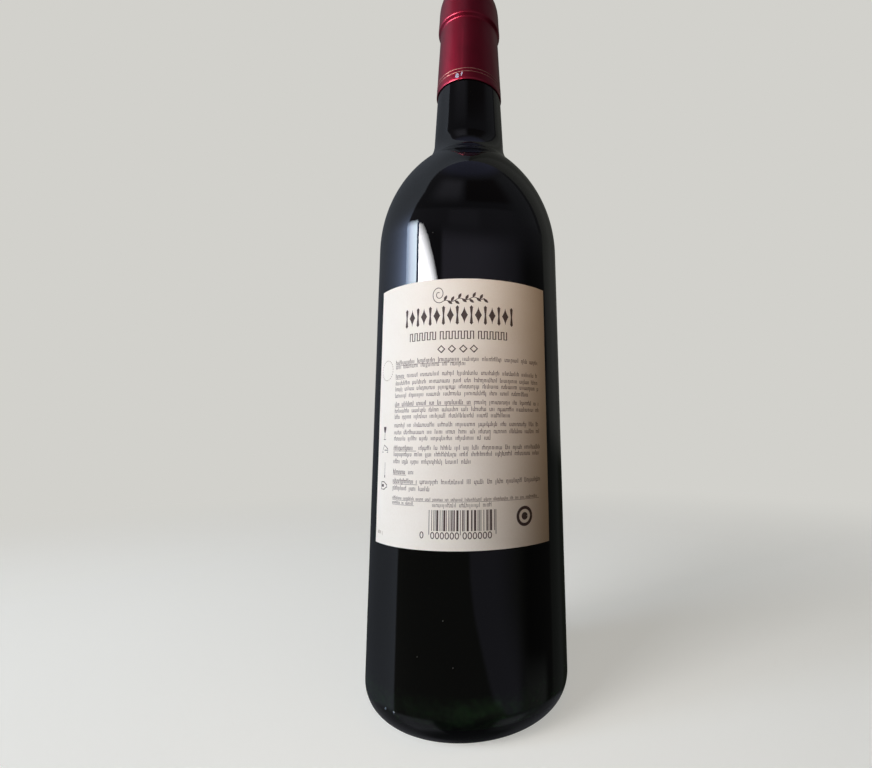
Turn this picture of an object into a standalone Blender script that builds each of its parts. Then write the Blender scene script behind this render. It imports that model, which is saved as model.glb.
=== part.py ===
"""A full 75 cl wine bottle with high round shoulders, standing on its base.

The bottle is one piece of dark green glass with a punt in its base. Wine fills it to a level behind the
capsule, a foil capsule closes its mouth, and a paper back label faces -Y. Run it with
blender --background --python part.py, or from the text editor.
Metres, +Z up, with the origin at the centre of the base.
"""
import math

import bmesh
import bpy

MM = 0.001

# Glass, outside
BODY_RADIUS = 37.5 * MM
GLASS_HEIGHT = 300.0 * MM
HEEL_RADIUS = 10.2 * MM
BEARING_WIDTH = 2.8 * MM
PUNT_DEPTH = 18.0 * MM
SHOULDER_START = 171.5 * MM
SHOULDER_RADIUS = 57.0 * MM
NECK_FOOT_ARC = 18.0 * MM
NECK_FOOT_RADIUS = 15.4 * MM
NECK_TOP_RADIUS = 12.8 * MM

# Glass, finish: the lip ring and the mouth that the cork went into
RING_BOTTOM = 281.0 * MM
RING_STEP_HEIGHT = 0.9 * MM
RING_RADIUS = 13.8 * MM
RING_TOP = 289.5 * MM
RING_TAPER = 0.4 * MM
LIP_RADIUS = 10.0 * MM
LIP_ROUNDING = 0.75 * MM
BORE_RADIUS = 9.25 * MM
BORE_DEPTH = 46.0 * MM

# Glass, inside
BODY_WALL = 2.4 * MM
NECK_WALL = 3.4 * MM
FLOOR_THICKNESS = 5.5 * MM
INNER_HEEL_RADIUS = 9.0 * MM

# Wine, capsule and label
GAP = 0.3 * MM
WINE_LEVEL = 250.5 * MM
CAPSULE_BOTTOM = 247.8 * MM
CAPSULE_WALL = 0.35 * MM
LABEL_BOTTOM = 58.9 * MM
LABEL_TOP = 149.6 * MM
LABEL_WIDTH = 70.8 * MM
LABEL_THICKNESS = 0.25 * MM

# How finely round shapes are cut
TURN_STEPS = 48
LABEL_STEPS = 16
MERGE_DISTANCE = 0.001 * MM


def remove_all_objects():
    for item in list(bpy.data.objects):
        bpy.data.objects.remove(item, do_unlink=True)


def make_material(name, colour, roughness, metallic=0.0):
    material = bpy.data.materials.new(name)
    material.use_nodes = True
    shader = material.node_tree.nodes["Principled BSDF"]
    shader.inputs["Base Color"].default_value = (*colour, 1.0)
    shader.inputs["Roughness"].default_value = roughness
    shader.inputs["Metallic"].default_value = metallic
    return material


def add_object(name, mesh_data, material):
    """Makes a named object from a bmesh, with its normals outwards and its round sides shaded smooth."""
    bmesh.ops.recalc_face_normals(mesh_data, faces=mesh_data.faces)
    mesh = bpy.data.meshes.new(name)
    mesh_data.to_mesh(mesh)
    mesh_data.free()
    mesh.materials.append(material)
    mesh.shade_smooth()
    mesh.set_sharp_from_angle(angle=math.radians(35))
    item = bpy.data.objects.new(name, mesh)
    bpy.context.scene.collection.objects.link(item)
    return item


def arc(centre, radius, start, end, steps, end_radius=None):
    """Points of an arc in the (radius, height) plane. Its own radius may grow evenly to an end radius."""
    growth = 0.0 if end_radius is None else end_radius - radius
    points = []
    for i in range(steps + 1):
        share = i / steps
        angle = start + (end - start) * share
        reach = radius + growth * share
        points.append((centre[0] + reach * math.cos(angle), centre[1] + reach * math.sin(angle)))
    return points


def line_at(height, low, high):
    """Radius at a height on the straight line between two (radius, height) points."""
    share = (height - low[1]) / (high[1] - low[1])
    return low[0] + (high[0] - low[0]) * share


def turned(name, profile, material):
    """Spins a (radius, height) profile that starts and ends on the axis, or closes on itself, round +Z."""
    mesh_data = bmesh.new()
    corners = [mesh_data.verts.new((radius, 0.0, height)) for radius, height in profile]
    pairs = list(zip(corners, corners[1:]))
    if profile[0][0] > 0.0:
        pairs.append((corners[-1], corners[0]))
    edges = [mesh_data.edges.new(pair) for pair in pairs]
    bmesh.ops.spin(
        mesh_data,
        geom=corners + edges,
        cent=(0, 0, 0),
        axis=(0, 0, 1),
        angle=math.tau,
        steps=TURN_STEPS,
        use_merge=True,
    )
    bmesh.ops.remove_doubles(mesh_data, verts=mesh_data.verts, dist=MERGE_DISTANCE)
    return add_object(name, mesh_data, material)


def shoulder(inset, foot_inset):
    """The shoulder's round and the neck foot's hollow, as two arcs that meet at one tangent.

    Both arcs keep the outside's centres. An inset gives the inside of the wall, and along the hollow it
    changes evenly to the foot inset, as the wall thickens towards the neck.
    """
    round_centre = (BODY_RADIUS - SHOULDER_RADIUS, SHOULDER_START)
    hollow_x = NECK_FOOT_RADIUS + NECK_FOOT_ARC
    reach = SHOULDER_RADIUS + NECK_FOOT_ARC
    turn = math.acos((hollow_x - round_centre[0]) / reach)
    hollow_centre = (hollow_x, SHOULDER_START + reach * math.sin(turn))
    round_part = arc(round_centre, SHOULDER_RADIUS - inset, 0.0, turn, 12)
    hollow_start = NECK_FOOT_ARC + inset
    hollow_end = NECK_FOOT_ARC + foot_inset
    hollow_part = arc(hollow_centre, hollow_start, math.pi + turn, math.pi, 8, hollow_end)
    return round_part + hollow_part[1:]


def neck_radius(height):
    """Outer radius of the glass on the straight taper from the neck's foot to the lip ring."""
    foot_height = shoulder(0.0, 0.0)[-1][1]
    return line_at(height, (NECK_FOOT_RADIUS, foot_height), (NECK_TOP_RADIUS, RING_BOTTOM))


def finish(offset):
    """Outside of the lip ring and of the rounded lip above it, grown outwards by an offset."""
    ring_top_radius = RING_RADIUS - RING_TAPER + offset
    rise = GLASS_HEIGHT + offset - RING_TOP
    step = [
        (NECK_TOP_RADIUS + offset, RING_BOTTOM),
        (RING_RADIUS + offset, RING_BOTTOM + RING_STEP_HEIGHT),
    ]
    lip = [
        (LIP_RADIUS + (ring_top_radius - LIP_RADIUS) * math.cos(a), RING_TOP + rise * math.sin(a))
        for a in [math.pi / 2 * i / 6 for i in range(7)]
    ]
    return step + lip


def punt(radius_at_edge, depth, base, steps):
    """Dome of the punt from the axis outwards: it falls by the square of the radius."""
    radii = [radius_at_edge * i / steps for i in range(steps + 1)]
    return [(r, base + depth * (1.0 - (r / radius_at_edge) ** 2)) for r in radii]


def inside(clearance):
    """Inside of the glass from the punt's top up to the bore, pulled in by a clearance."""
    heel_centre = (BODY_RADIUS - BODY_WALL - INNER_HEEL_RADIUS, FLOOR_THICKNESS + INNER_HEEL_RADIUS)
    inner_punt = punt(heel_centre[0], PUNT_DEPTH, FLOOR_THICKNESS + clearance, 6)
    inner_heel = arc(heel_centre, INNER_HEEL_RADIUS - clearance, -math.pi / 2, 0.0, 6)
    inner_shoulder = shoulder(BODY_WALL + clearance, NECK_WALL + clearance)
    bore_end = (BORE_RADIUS - clearance, GLASS_HEIGHT - BORE_DEPTH)
    return inner_punt + inner_heel[1:] + inner_shoulder + [bore_end]


def make_glass(material):
    """One hollow piece: punt, bearing ring, heel, body, shoulder, neck and finish, then back down inside."""
    heel_edge = BODY_RADIUS - HEEL_RADIUS
    under = punt(heel_edge - BEARING_WIDTH, PUNT_DEPTH, 0.0, 8)
    heel = arc((heel_edge, HEEL_RADIUS), HEEL_RADIUS, -math.pi / 2, 0.0, 10)
    mouth = [(BORE_RADIUS, GLASS_HEIGHT - LIP_ROUNDING)]
    outside = under + heel + shoulder(0.0, 0.0) + finish(0.0) + mouth
    return turned("glass", outside + inside(0.0)[::-1], material)


def make_wine(material):
    """The wine fills the glass up to a flat level in the neck, with a hair's gap to the wall."""
    wall = inside(GAP)
    surface_radius = line_at(WINE_LEVEL, wall[-2], wall[-1])
    top = [(surface_radius, WINE_LEVEL), (0.0, WINE_LEVEL)]
    return turned("wine", wall[:-1] + top, material)


def make_capsule(material):
    """A foil sleeve over the top of the neck, drawn over the lip ring and shut by a flat top."""
    inner = GAP
    outer = GAP + CAPSULE_WALL
    foot = neck_radius(CAPSULE_BOTTOM)
    outside = [(foot + outer, CAPSULE_BOTTOM)] + finish(outer)
    lining = [(foot + inner, CAPSULE_BOTTOM)] + finish(inner)
    profile = [(0.0, outside[-1][1])] + outside[::-1] + lining + [(0.0, lining[-1][1])]
    return turned("capsule", profile, material)


def make_label(material):
    """A thin paper sheet bent round the body, centred on -Y."""
    near = BODY_RADIUS + GAP
    far = near + LABEL_THICKNESS
    span = LABEL_WIDTH / BODY_RADIUS
    angles = [-math.pi / 2 + span * (i / LABEL_STEPS - 0.5) for i in range(LABEL_STEPS + 1)]
    mesh_data = bmesh.new()
    first = None
    section_before = None
    for angle in angles:
        section = [
            mesh_data.verts.new((radius * math.cos(angle), radius * math.sin(angle), height))
            for radius, height in ((near, LABEL_BOTTOM), (far, LABEL_BOTTOM), (far, LABEL_TOP), (near, LABEL_TOP))
        ]
        if section_before is None:
            first = section
        else:
            for i in range(4):
                j = (i + 1) % 4
                mesh_data.faces.new((section_before[i], section[i], section[j], section_before[j]))
        section_before = section
    mesh_data.faces.new(first)
    mesh_data.faces.new(section_before[::-1])
    return add_object("label", mesh_data, material)


def main():
    remove_all_objects()
    make_glass(make_material("dark_green_glass", (0.012, 0.021, 0.014), 0.05))
    make_wine(make_material("red_wine", (0.070, 0.006, 0.012), 0.05))
    make_capsule(make_material("lacquered_foil", (0.290, 0.022, 0.058), 0.32, 0.4))
    make_label(make_material("cream_paper", (0.780, 0.715, 0.610), 0.75))


main()
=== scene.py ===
# %% [markdown]
# # Dressing a wine bottle
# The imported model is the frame: a bottle of dark green glass, the wine in it, the capsule over its mouth
# and the label on its body. This script keeps every size of that frame and adds what the eye sees close
# up: glass that bends light, lacquered foil, paper with print on it. A bottle is a turned shape, so most
# pieces are a profile carried round the Z axis.

# %% Load the frame
import math

import bpy
import numpy as np
from mathutils import Matrix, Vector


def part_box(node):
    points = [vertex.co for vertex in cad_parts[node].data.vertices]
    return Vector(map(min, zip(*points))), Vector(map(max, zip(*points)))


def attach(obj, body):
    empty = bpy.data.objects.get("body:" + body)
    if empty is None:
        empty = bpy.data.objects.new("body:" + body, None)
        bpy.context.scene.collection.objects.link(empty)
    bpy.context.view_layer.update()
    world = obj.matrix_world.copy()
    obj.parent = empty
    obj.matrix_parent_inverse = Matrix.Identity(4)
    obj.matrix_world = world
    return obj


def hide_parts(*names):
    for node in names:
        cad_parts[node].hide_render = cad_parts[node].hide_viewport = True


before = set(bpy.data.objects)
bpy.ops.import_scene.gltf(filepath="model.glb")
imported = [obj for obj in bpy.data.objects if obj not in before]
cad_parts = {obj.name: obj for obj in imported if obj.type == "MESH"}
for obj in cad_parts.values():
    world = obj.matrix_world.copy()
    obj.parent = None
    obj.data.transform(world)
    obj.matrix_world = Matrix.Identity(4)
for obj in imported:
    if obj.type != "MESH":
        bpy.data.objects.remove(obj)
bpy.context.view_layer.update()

MM = 0.001

# %% [markdown]
# ## The camera
# The photograph was taken from very near, with the lens close to the foot of the bottle and tilted up
# along it, which is why the neck looks so slender. A camera could be placed by eye, but this one is
# fitted. It stands 197 mm from the axis and only 94 mm up. Four angles turn it, and the lens is shifted a
# little because the picture was cropped off centre.

# %% Place the camera
IMAGE_WIDTH = 872
CAMERA_DISTANCE = 196.7 * MM
CAMERA_HEIGHT = 94.27 * MM
CAMERA_ORBIT = math.radians(5.443)
CAMERA_YAW = math.radians(3.936)
CAMERA_PITCH = math.radians(9.545)
CAMERA_ROLL = math.radians(0.527)
FOCAL_PIXELS = 472.8
SENSOR_MM = 36.0
SHIFT_RIGHT, SHIFT_UP = -0.0740, -0.0288
NEAREST_SEEN = 10 * MM


def place_camera():
    """Orbit about Z, times the way out and up, times yaw, pitch and roll, from the left to the right."""
    orbit = Matrix.Rotation(CAMERA_ORBIT, 4, "Z")
    way = Matrix.Translation((0.0, -CAMERA_DISTANCE, CAMERA_HEIGHT))
    yaw = Matrix.Rotation(-CAMERA_YAW, 4, "Z")
    pitch = Matrix.Rotation(math.pi / 2.0 + CAMERA_PITCH, 4, "X")
    roll = Matrix.Rotation(-CAMERA_ROLL, 4, "Z")
    lens = bpy.data.cameras.new("camera")
    lens.sensor_width = SENSOR_MM
    lens.lens = FOCAL_PIXELS / IMAGE_WIDTH * SENSOR_MM
    lens.shift_x, lens.shift_y = SHIFT_RIGHT, SHIFT_UP
    lens.clip_start = NEAREST_SEEN
    made = bpy.data.objects.new("camera", lens)
    bpy.context.scene.collection.objects.link(made)
    made.matrix_world = orbit @ way @ yaw @ pitch @ roll
    bpy.context.scene.camera = made
    return made


camera = place_camera()
print("lens", round(camera.data.lens, 2), "mm")

# %% [markdown]
# ## Colours and nodes
# Every colour of a finish is written as the sRGB hex value that one would pick from a picture, and one
# function turns it into the linear numbers that a shader needs. One more function adds a shader node, sets
# it and links it. Short ones stand on it, for noise, blends and bumps, so that each material below reads as
# a list of what the real finish is made of.

# %% Helpers for materials
MIX_A, MIX_B, MIX_COLOUR = 6, 7, 2


def linear(hex_colour):
    """sRGB hex to linear: v / 12.92 below 0.04045, else ((v + 0.055) / 1.055) to the power 2.4."""
    value = np.array([int(hex_colour[i : i + 2], 16) for i in (1, 3, 5)]) / 255.0
    return np.where(value <= 0.04045, value / 12.92, ((value + 0.055) / 1.055) ** 2.4)


def rgba(hex_colour):
    """The linear colour with a full alpha, as a colour socket takes it."""
    return (*linear(hex_colour), 1.0)


def add_node(tree, kind, inputs=None, **settings):
    """Adds a node. Settings are its own properties; inputs are values, or the sockets that feed it."""
    made = tree.nodes.new(kind)
    for key, value in settings.items():
        setattr(made, key, value)
    for key, value in (inputs or {}).items():
        if isinstance(value, bpy.types.NodeSocket):
            tree.links.new(value, made.inputs[key])
        else:
            made.inputs[key].default_value = value
    return made


def new_material(name):
    """A material with an empty node tree."""
    made = bpy.data.materials.new(name)
    made.use_nodes = True
    made.node_tree.nodes.clear()
    return made, made.node_tree


def noise(tree, grain, detail=2.0):
    """Noise between 0 and 1 in object coordinates, with lumps of about one grain."""
    place = add_node(tree, "ShaderNodeTexCoord")
    inputs = {"Vector": place.outputs["Object"], "Scale": 1.0 / grain, "Detail": detail}
    return add_node(tree, "ShaderNodeTexNoise", inputs).outputs["Fac"]


def in_range(tree, value, low, high, start=0.0, end=1.0, kind="LINEAR"):
    """Start plus (end minus start) times the value's share of the way from low to high."""
    inputs = {"Value": value, "From Min": low, "From Max": high, "To Min": start, "To Max": end}
    return add_node(tree, "ShaderNodeMapRange", inputs, interpolation_type=kind).outputs[0]


def product(tree, first, second):
    """First times second."""
    return add_node(tree, "ShaderNodeMath", {0: first, 1: second}, operation="MULTIPLY").outputs[0]


def blended(tree, share, first, second):
    """First times (1 minus share) plus second times share, for two hex colours."""
    inputs = {"Factor": share, MIX_A: rgba(first), MIX_B: rgba(second)}
    return add_node(tree, "ShaderNodeMix", inputs, data_type="RGBA").outputs[MIX_COLOUR]


def uneven(tree, hex_colour, grain, detail, low, high):
    """A colour times a noise that is carried to the range from low to high."""
    gain = in_range(tree, noise(tree, grain, detail), 0.0, 1.0, low, high)
    return add_node(tree, "ShaderNodeHueSaturation", {"Color": rgba(hex_colour), "Value": gain}).outputs[0]


def bumped(tree, height, strength, distance):
    """The surface's normal, tilted by the slopes of strength times distance times height."""
    inputs = {"Height": height, "Strength": strength, "Distance": distance}
    return add_node(tree, "ShaderNodeBump", inputs).outputs["Normal"]


def finished(made, tree, inputs, kind="ShaderNodeBsdfPrincipled"):
    """Ends a material with one shader and returns the material."""
    shader = add_node(tree, kind, inputs)
    add_node(tree, "ShaderNodeOutputMaterial", {"Surface": shader.outputs[0]})
    return made


print("mid grey is", linear("#808080").round(3))

# %% [markdown]
# ## Profiles and turned pieces
# A turned piece starts as a profile: points of radius and height, from the axis below, up the outside and
# back down the inside. It could be drawn as a curve and given a Screw modifier. Here the whole surface is
# worked out at once with numpy, because relief such as a mould seam can then be added to every point by a
# formula, and the poles can be closed to a single point.

# %% Helpers for profiles


def arc(centre, radius, start, end, steps, end_radius=None):
    """Centre plus reach times (cos a, sin a): a runs from start to end, the reach to the end radius."""
    share = np.linspace(0.0, 1.0, steps + 1)[:, None]
    angle = start + (end - start) * share
    reach = radius + ((radius if end_radius is None else end_radius) - radius) * share
    return np.array(centre) + reach * np.hstack([np.cos(angle), np.sin(angle)])


def pairs(first, second):
    """Points (first, second) from two rows of numbers, or from one number and a row."""
    return np.stack(np.broadcast_arrays(first, second), axis=-1)


def square_to(path):
    """Unit vectors to the right of a path, square to it: (dy, -dx) over the length of (dx, dy)."""
    step = np.gradient(path, axis=0)
    return pairs(step[:, 1], -step[:, 0]) / np.hypot(*step.T)[:, None]


def joined(*runs):
    """Runs of points one after the other. A point that repeats the one before it is dropped."""
    points = np.vstack(runs)
    apart = np.hypot(*np.diff(points, axis=0).T) > 0.001 * MM
    return points[np.concatenate([[True], apart])]


def smooth_step(value, low, high):
    """0 below low and 1 above high, with 3 t squared minus 2 t cubed between them."""
    share = np.clip((value - low) / (high - low), 0.0, 1.0)
    return share * share * (3.0 - 2.0 * share)


# %% Helpers for meshes
CREASE = math.radians(40.0)


def grid_faces(rows, columns, rows_close=False, columns_close=False):
    """Quads of a grid numbered row by row: (i, j), (i, j+1), (i+1, j+1), (i+1, j)."""
    i = np.arange(rows if rows_close else rows - 1)[:, None]
    j = np.arange(columns if columns_close else columns - 1)[None, :]
    above, beside = (i + 1) % rows, (j + 1) % columns
    corners = [i * columns + j, i * columns + beside, above * columns + beside, above * columns + j]
    return np.stack(corners, axis=-1).reshape(-1, 4)


def capped_rings(rows, columns):
    """Quads between closed rings, and a fan to a pole at each end. The poles come after the rings."""
    ring = np.arange(columns)
    beside = (ring + 1) % columns
    top = (rows - 1) * columns
    low_fan = np.stack([np.full(columns, rows * columns), beside, ring], axis=1)
    high_fan = np.stack([top + ring, top + beside, np.full(columns, rows * columns + 1)], axis=1)
    return [grid_faces(rows, columns, columns_close=True), low_fan, high_fan]


def full_turn(count):
    """Even angles from 0 up to, and without, a full turn."""
    return np.linspace(0.0, math.tau, count, endpoint=False)


def around_z(radius, angle, level):
    """Points (r cos a, r sin a, z)."""
    return np.stack([radius * np.cos(angle), radius * np.sin(angle), level], axis=-1)


def new_piece(name, points, faces, material, smooth=True):
    """A piece at the origin from an array of points and a list of arrays of faces."""
    mesh = bpy.data.meshes.new(name)
    mesh.from_pydata(points.tolist(), [], [face for group in faces for face in group.tolist()])
    mesh.polygons.foreach_set("use_smooth", np.full(len(mesh.polygons), smooth))
    mesh.set_sharp_from_angle(angle=CREASE)
    mesh.materials.append(material)
    mesh.update()
    made = bpy.data.objects.new(name, mesh)
    bpy.context.scene.collection.objects.link(made)
    triangles = sum(len(group) * (group.shape[1] - 2) for group in faces)
    print(f"{name}: {len(points)} points, {triangles} triangles")
    return made


def ride_with(piece, slot, *nodes):
    """The piece moves with the bottle and stands for the nodes named, which are hidden. The slot is not
    used.
    """
    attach(piece, "root")
    if nodes:
        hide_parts(*nodes)


def turned(name, profile, columns, material, relief=None):
    """Carries a profile round Z. Its two ends lie on the axis and become points.

    Relief, a function of radius, height, angle and row, moves each point along the profile's normal.
    """
    rings, normal = profile[1:-1], square_to(profile)[1:-1]
    angle = full_turn(columns)[None, :]
    radius, height = rings[:, :1] + 0.0 * angle, rings[:, 1:] + 0.0 * angle
    if relief is not None:
        row = np.arange(1, len(profile) - 1)[:, None] + 0.0 * angle
        lift = relief(radius, height, angle + 0.0 * radius, row)
        radius = radius + lift * normal[:, :1]
        height = height + lift * normal[:, 1:]
    points = around_z(radius, angle, height).reshape(-1, 3)
    poles = np.array([[0.0, 0.0, profile[0, 1]], [0.0, 0.0, profile[-1, 1]]])
    return new_piece(name, np.vstack([points, poles]), capped_rings(len(rings), columns), material)


# %% [markdown]
# ## The shape of the glass
# This is a straight-sided bottle with high round shoulders. Its outside is a chain of simple runs: the
# punt's dome under the base, the flat ring that it stands on, the heel's quarter circle, the body, the
# shoulder's large arc, the hollow arc at the neck's foot, the tapering neck, and the lip ring. The body's
# width and the whole height are read from the frame, and the rest are the sizes that the frame was made
# from.

# %% Sizes of the bottle
GLASS_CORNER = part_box("glass")[1]
BODY_RADIUS = GLASS_CORNER.x
GLASS_HEIGHT = GLASS_CORNER.z
HEEL_RADIUS = 10.2 * MM
BEARING_WIDTH = 2.8 * MM
BEARING_ROUNDING = 1.5 * MM
PUNT_DEPTH = 18.0 * MM
SHOULDER_START = 171.5 * MM
SHOULDER_RADIUS = 57.0 * MM
NECK_FOOT_ARC = 18.0 * MM
NECK_FOOT_RADIUS = 15.4 * MM
NECK_TOP_RADIUS = 12.8 * MM
RING_BOTTOM = 281.0 * MM
RING_STEP_HEIGHT = 0.9 * MM
RING_RADIUS = 13.8 * MM
RING_TOP = 289.5 * MM
RING_TAPER = 0.4 * MM
LIP_RADIUS = 10.0 * MM
LIP_ROUNDING = 0.75 * MM
BORE_RADIUS = 9.25 * MM
BORE_DEPTH = 46.0 * MM
BODY_WALL = 2.4 * MM
NECK_WALL = 3.4 * MM
FLOOR_THICKNESS = 5.5 * MM
INNER_HEEL_RADIUS = 9.0 * MM

# %% Profile of the glass


def shoulder(inset, foot_inset, round_steps, hollow_steps):
    """The shoulder's round arc and the neck foot's hollow arc, which share one tangent where they meet."""
    round_centre = (BODY_RADIUS - SHOULDER_RADIUS, SHOULDER_START)
    hollow_x = NECK_FOOT_RADIUS + NECK_FOOT_ARC
    reach = SHOULDER_RADIUS + NECK_FOOT_ARC
    turn = math.acos((hollow_x - round_centre[0]) / reach)
    hollow_centre = (hollow_x, SHOULDER_START + reach * math.sin(turn))
    round_part = arc(round_centre, SHOULDER_RADIUS - inset, 0.0, turn, round_steps)
    start, end = NECK_FOOT_ARC + inset, NECK_FOOT_ARC + foot_inset
    return joined(round_part, arc(hollow_centre, start, math.pi + turn, math.pi, hollow_steps, end))


NECK_FOOT = shoulder(0.0, 0.0, 1, 1)[-1]


def neck_radius(height):
    """Outer radius on the neck's straight taper, between its foot and the lip ring."""
    return np.interp(height, [NECK_FOOT[1], RING_BOTTOM], [NECK_FOOT[0], NECK_TOP_RADIUS])


def dome(edge, depth, base, steps):
    """The punt from the axis out to its edge: base plus depth times (1 minus the radius share squared)."""
    radius = np.linspace(0.0, edge, steps + 1)
    return pairs(radius, base + depth * (1.0 - (radius / edge) ** 2))


def rounded_punt(edge, steps):
    """The dome under the base, with its sharp edge rounded into the flat ring by an arc tangent to both."""
    slope = math.atan2(2.0 * PUNT_DEPTH, edge)
    back = BEARING_ROUNDING * math.tan(slope / 2.0)
    centre = (edge + back, BEARING_ROUNDING)
    start = -math.pi / 2.0 - slope
    curve = dome(edge, PUNT_DEPTH, 0.0, steps)
    curve = curve[curve[:, 0] < centre[0] + BEARING_ROUNDING * math.cos(start)]
    return joined(curve, arc(centre, BEARING_ROUNDING, start, -math.pi / 2.0, 5))


def lip(offset, steps):
    """The lip ring's step, its straight side and the quarter ellipse over the mouth, grown by an offset."""
    side = RING_RADIUS - RING_TAPER + offset
    ring = [
        (NECK_TOP_RADIUS + offset, RING_BOTTOM),
        (RING_RADIUS + offset, RING_BOTTOM + RING_STEP_HEIGHT),
        (side, RING_TOP),
    ]
    angle = np.linspace(0.0, math.pi / 2.0, steps + 1)[1:]
    over_radius = LIP_RADIUS + (side - LIP_RADIUS) * np.cos(angle)
    over_height = RING_TOP + (GLASS_HEIGHT + offset - RING_TOP) * np.sin(angle)
    return joined(ring, pairs(over_radius, over_height))


def inside(inset, steps):
    """Inside of the glass from the punt's top up to the bore, pulled in by an inset."""
    heel_centre = (BODY_RADIUS - BODY_WALL - INNER_HEEL_RADIUS, FLOOR_THICKNESS + INNER_HEEL_RADIUS)
    return joined(
        dome(heel_centre[0], PUNT_DEPTH, FLOOR_THICKNESS + inset, steps),
        arc(heel_centre, INNER_HEEL_RADIUS - inset, -math.pi / 2.0, 0.0, steps),
        shoulder(BODY_WALL + inset, NECK_WALL + inset, 2 * steps, steps),
        [(BORE_RADIUS - inset, GLASS_HEIGHT - BORE_DEPTH)],
    )


def outside():
    """Outside of the glass, from the top of the punt to the rounding of the mouth."""
    heel_edge = BODY_RADIUS - HEEL_RADIUS
    return joined(
        rounded_punt(heel_edge - BEARING_WIDTH, 24),
        [(heel_edge - BEARING_WIDTH / 2.0, 0.0)],
        arc((heel_edge, HEEL_RADIUS), HEEL_RADIUS, -math.pi / 2.0, 0.0, 20),
        np.linspace((BODY_RADIUS, HEEL_RADIUS), (BODY_RADIUS, SHOULDER_START), 37),
        shoulder(0.0, 0.0, 56, 28),
        np.linspace(NECK_FOOT, (NECK_TOP_RADIUS, RING_BOTTOM), 13),
        lip(0.0, 12),
        [(BORE_RADIUS, GLASS_HEIGHT - LIP_ROUNDING)],
    )


OUTSIDE = outside()
GLASS_PROFILE = joined(OUTSIDE, inside(0.0, 12)[::-1])
print(len(OUTSIDE), "points outside,", len(GLASS_PROFILE), "in all")

# %% [markdown]
# ## Marks of the mould
# Bottles are blown in a mould of two halves, and a fine seam stays where the halves met. The surface is
# never quite true either: it swells and sinks by hundredths of a millimetre, so that straight reflections
# waver. The ring that the bottle stands on is knurled, which keeps it from gripping the belt in the
# works. All three are added to the points as relief, because light bends at real slopes.

# %% Relief of the glass
SEAM_HEIGHT = 0.09 * MM
SEAM_HALF_WIDTH = 0.5 * MM
WAVE_HEIGHT = 0.010 * MM
KNURL_DEPTH = 0.25 * MM
KNURL_TEETH = 64
SEAM_STARTS, SEAM_ENDS = (2 * MM, 6 * MM), (277 * MM, 280 * MM)
WAVE_STARTS = (12 * MM, 25 * MM)
BEARING_ROWS = np.flatnonzero((OUTSIDE[:, 1] < 0.15 * MM) & (OUTSIDE[:, 0] > 20 * MM))


def glass_relief(radius, height, angle, row):
    """Seam ridges at +X and -X, long shallow waves, and notches cut upwards into the bearing ring."""
    away = radius * np.abs(np.sin(angle))
    seam = SEAM_HEIGHT * np.exp(-((away / SEAM_HALF_WIDTH) ** 2)) * (radius > 0.95 * NECK_TOP_RADIUS)
    seam = seam * smooth_step(height, *SEAM_STARTS) * (1.0 - smooth_step(height, *SEAM_ENDS))
    wave = np.sin(3 * angle + height / (9 * MM)) + np.sin(5 * angle - height / (6.3 * MM) + 1.7)
    wave = WAVE_HEIGHT * wave * smooth_step(height, *WAVE_STARTS)
    in_ring = np.isin(row, BEARING_ROWS)
    notch = -KNURL_DEPTH * np.clip(np.cos(KNURL_TEETH * angle), 0.0, 1.0) * in_ring
    return np.where(row < len(OUTSIDE) - 2, seam + wave + notch, 0.0)


# %% [markdown]
# ## Dark green bottle glass
# Common red wine bottles are soda-lime glass with iron and chromium in it, blown into a steel mould and
# fire polished. In the hand the glass is green, and with wine behind it it looks black. It is made as
# clear glass whose colour tints what passes through. The index of 1.52 is that of soda-lime glass, and
# it sets how strongly the surface mirrors the room.

# %% Make the glass
GLASS_TINT = "#2c4a2a"
GLASS_INDEX = 1.52


def blown_green_glass():
    """Clear dielectric with a green tint, polished, with the faint ripple of a blown surface."""
    made, tree = new_material("soda_lime_glass_blown_green")
    finish = {
        "Base Color": rgba(GLASS_TINT),
        "Roughness": 0.0,
        "IOR": GLASS_INDEX,
        "Transmission Weight": 1.0,
        "Normal": bumped(tree, noise(tree, 14 * MM, 1.0), 0.5, 0.02 * MM),
    }
    return finished(made, tree, finish)


glass = turned("bottle_glass", GLASS_PROFILE, 320, blown_green_glass(), glass_relief)
ride_with(glass, "glass", "glass")

# %% [markdown]
# ## The wine
# The bottle is full, up to a level hidden by the capsule. Between glass and wine there is no air, so the
# wine's surface is set a little into the wall: then no bright inner face of the glass shows. Seven
# centimetres of red wine let almost nothing through, so its own colour is nearly black with a breath of
# red. Its gloss is switched off, because wine against glass hardly mirrors at all. Only low in the heel is
# its colour painted pale, in soft patches, as painted light. The thick heel of a real bottle gathers light
# there, and the painted pale patches seen through the green glass give a dim gleam like that.

# %% Make the wine
WINE_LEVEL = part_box("wine")[1].z
INTO_WALL = 0.15 * MM
MENISCUS_RISE = 0.8 * MM
WINE_DEEP = "#0c0405"
PAINTED_HEEL_GLOW = "#f4fff0"
GLOW_TOP = 17.0 * MM
GLOW_FULL = 10.0 * MM
GLOW_LEFT, GLOW_RIGHT = -10.0 * MM, 8.0 * MM


def wine_profile():
    """The inside of the glass grown into the wall, closed by a level surface that climbs at its rim."""
    wall = inside(-INTO_WALL, 14)
    below = wall[wall[:, 1] < WINE_LEVEL]
    rim = np.interp(WINE_LEVEL, wall[-2:, 1], wall[-2:, 0])
    share = np.linspace(1.0, 0.0, 12)
    level = WINE_LEVEL - MENISCUS_RISE * (1.0 - np.exp(-(1.0 - share) * 6.0))
    return joined(below, pairs(rim * share, level))


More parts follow.
